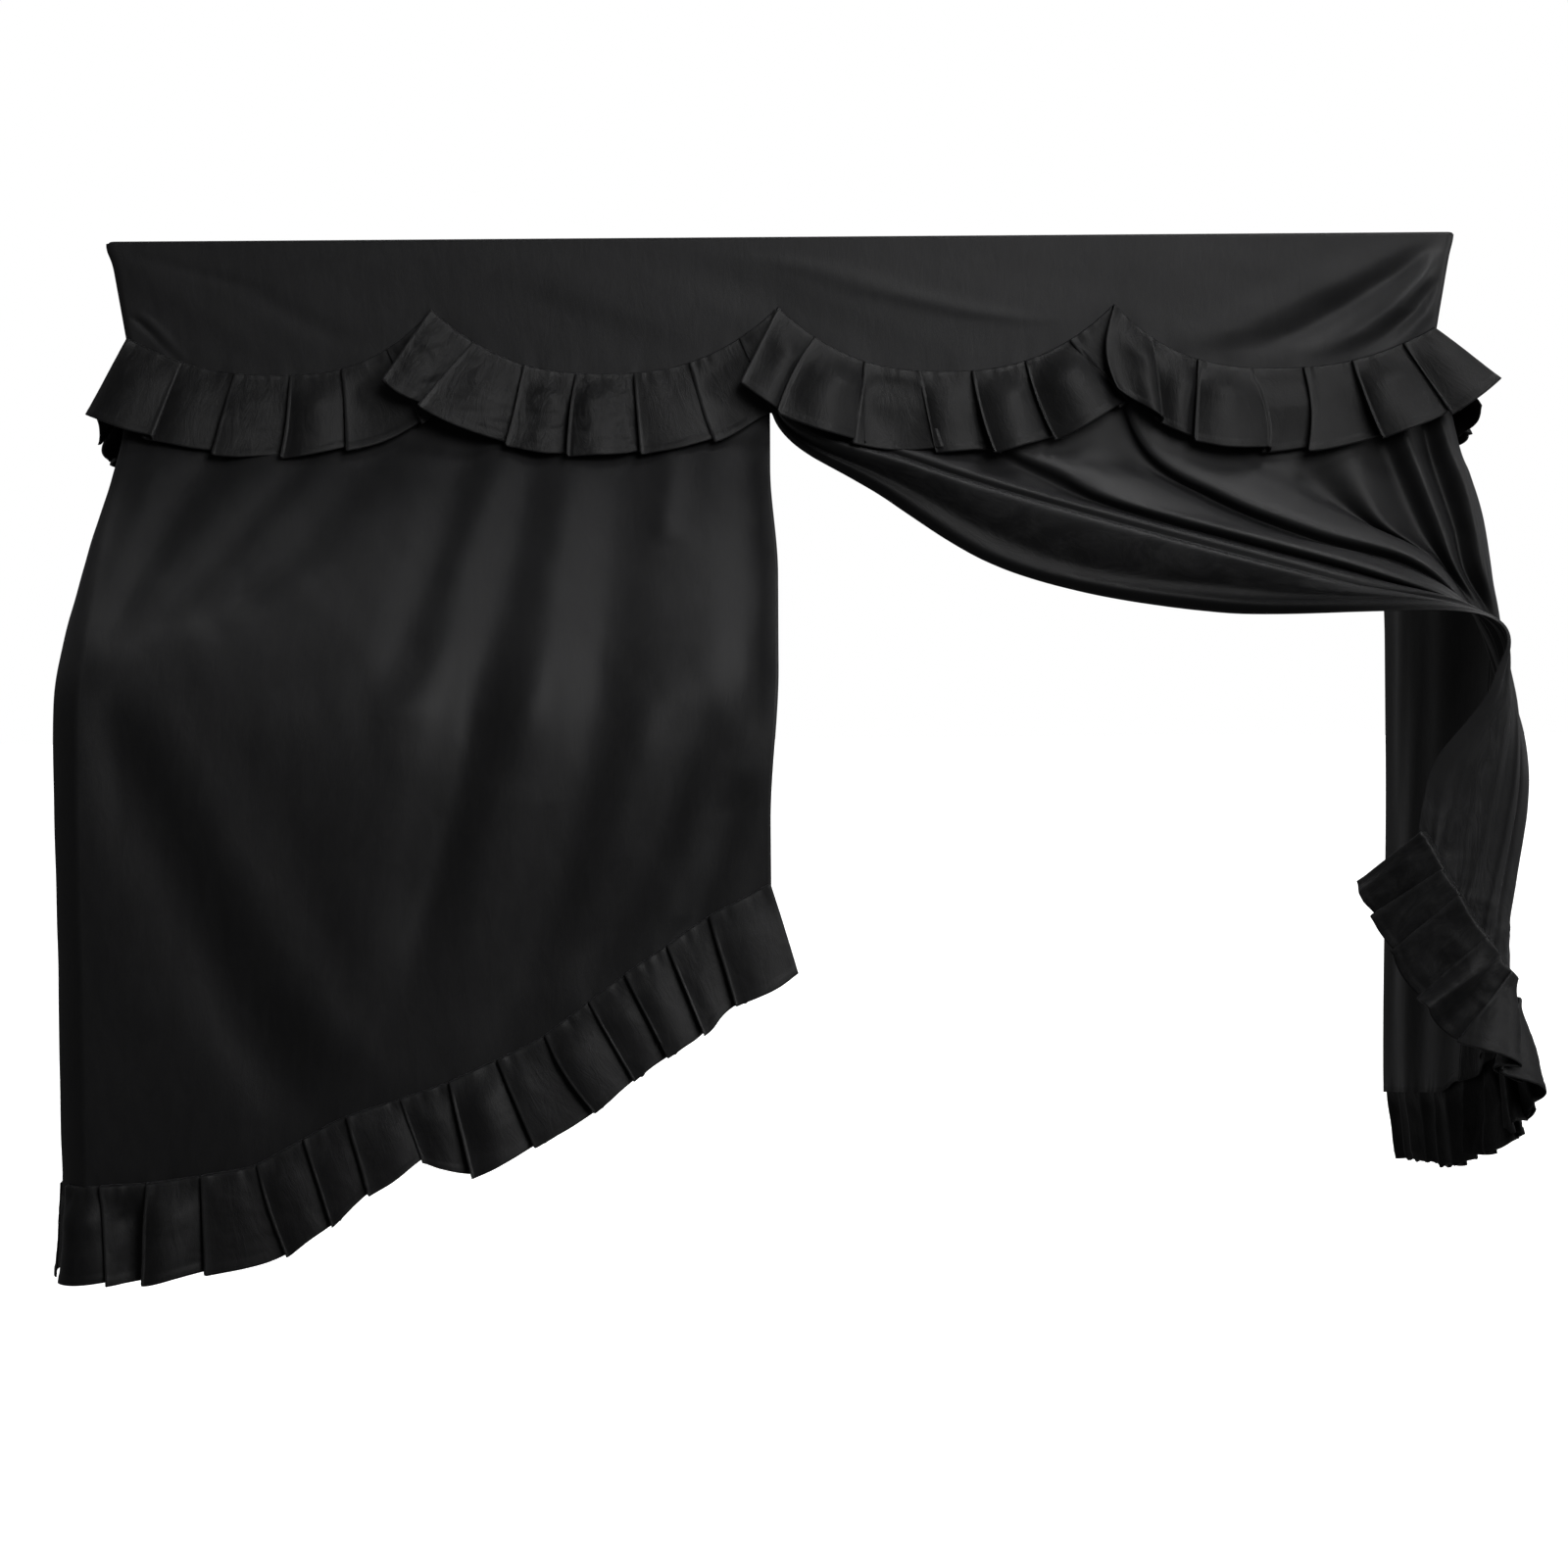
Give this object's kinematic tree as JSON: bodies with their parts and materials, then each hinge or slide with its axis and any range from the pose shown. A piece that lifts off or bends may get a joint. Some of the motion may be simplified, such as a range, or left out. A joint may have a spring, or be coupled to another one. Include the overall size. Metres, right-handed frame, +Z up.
{
  "type": "piano cover",
  "caption": "Full velvet dust cover for an upright piano, with pleated ruffles on a scalloped seam and hem, its right front half swept aside over the key arm.",
  "frame": {"origin": "middle of the underside of the flat top, where the cloth lies on the piano's lid", "axes": "+X to the right as seen from the player's side, +Y to the back of the piano, +Z up"},
  "size_m": [1.5795, 0.6617, 1.1042],
  "materials": {
    "velvet": "matt black pile cloth with a soft sheen"
  },
  "bodies": {
    "root": {"top_panel": "velvet", "yoke_front": "velvet", "yoke_left": "velvet", "yoke_right": "velvet", "back_band": "velvet", "front_left_panel": "velvet", "front_right_panel": "velvet", "side_left_panel": "velvet", "side_right_panel": "velvet", "ruffle_front_1": "velvet", "ruffle_front_2": "velvet", "ruffle_front_3": "velvet", "ruffle_front_4": "velvet", "ruffle_side_left": "velvet", "ruffle_side_right": "velvet", "hem_front_left": "velvet", "hem_side_left": "velvet", "hem_side_right": "velvet", "hem_front_right": "velvet"}
  },
  "joints": []
}
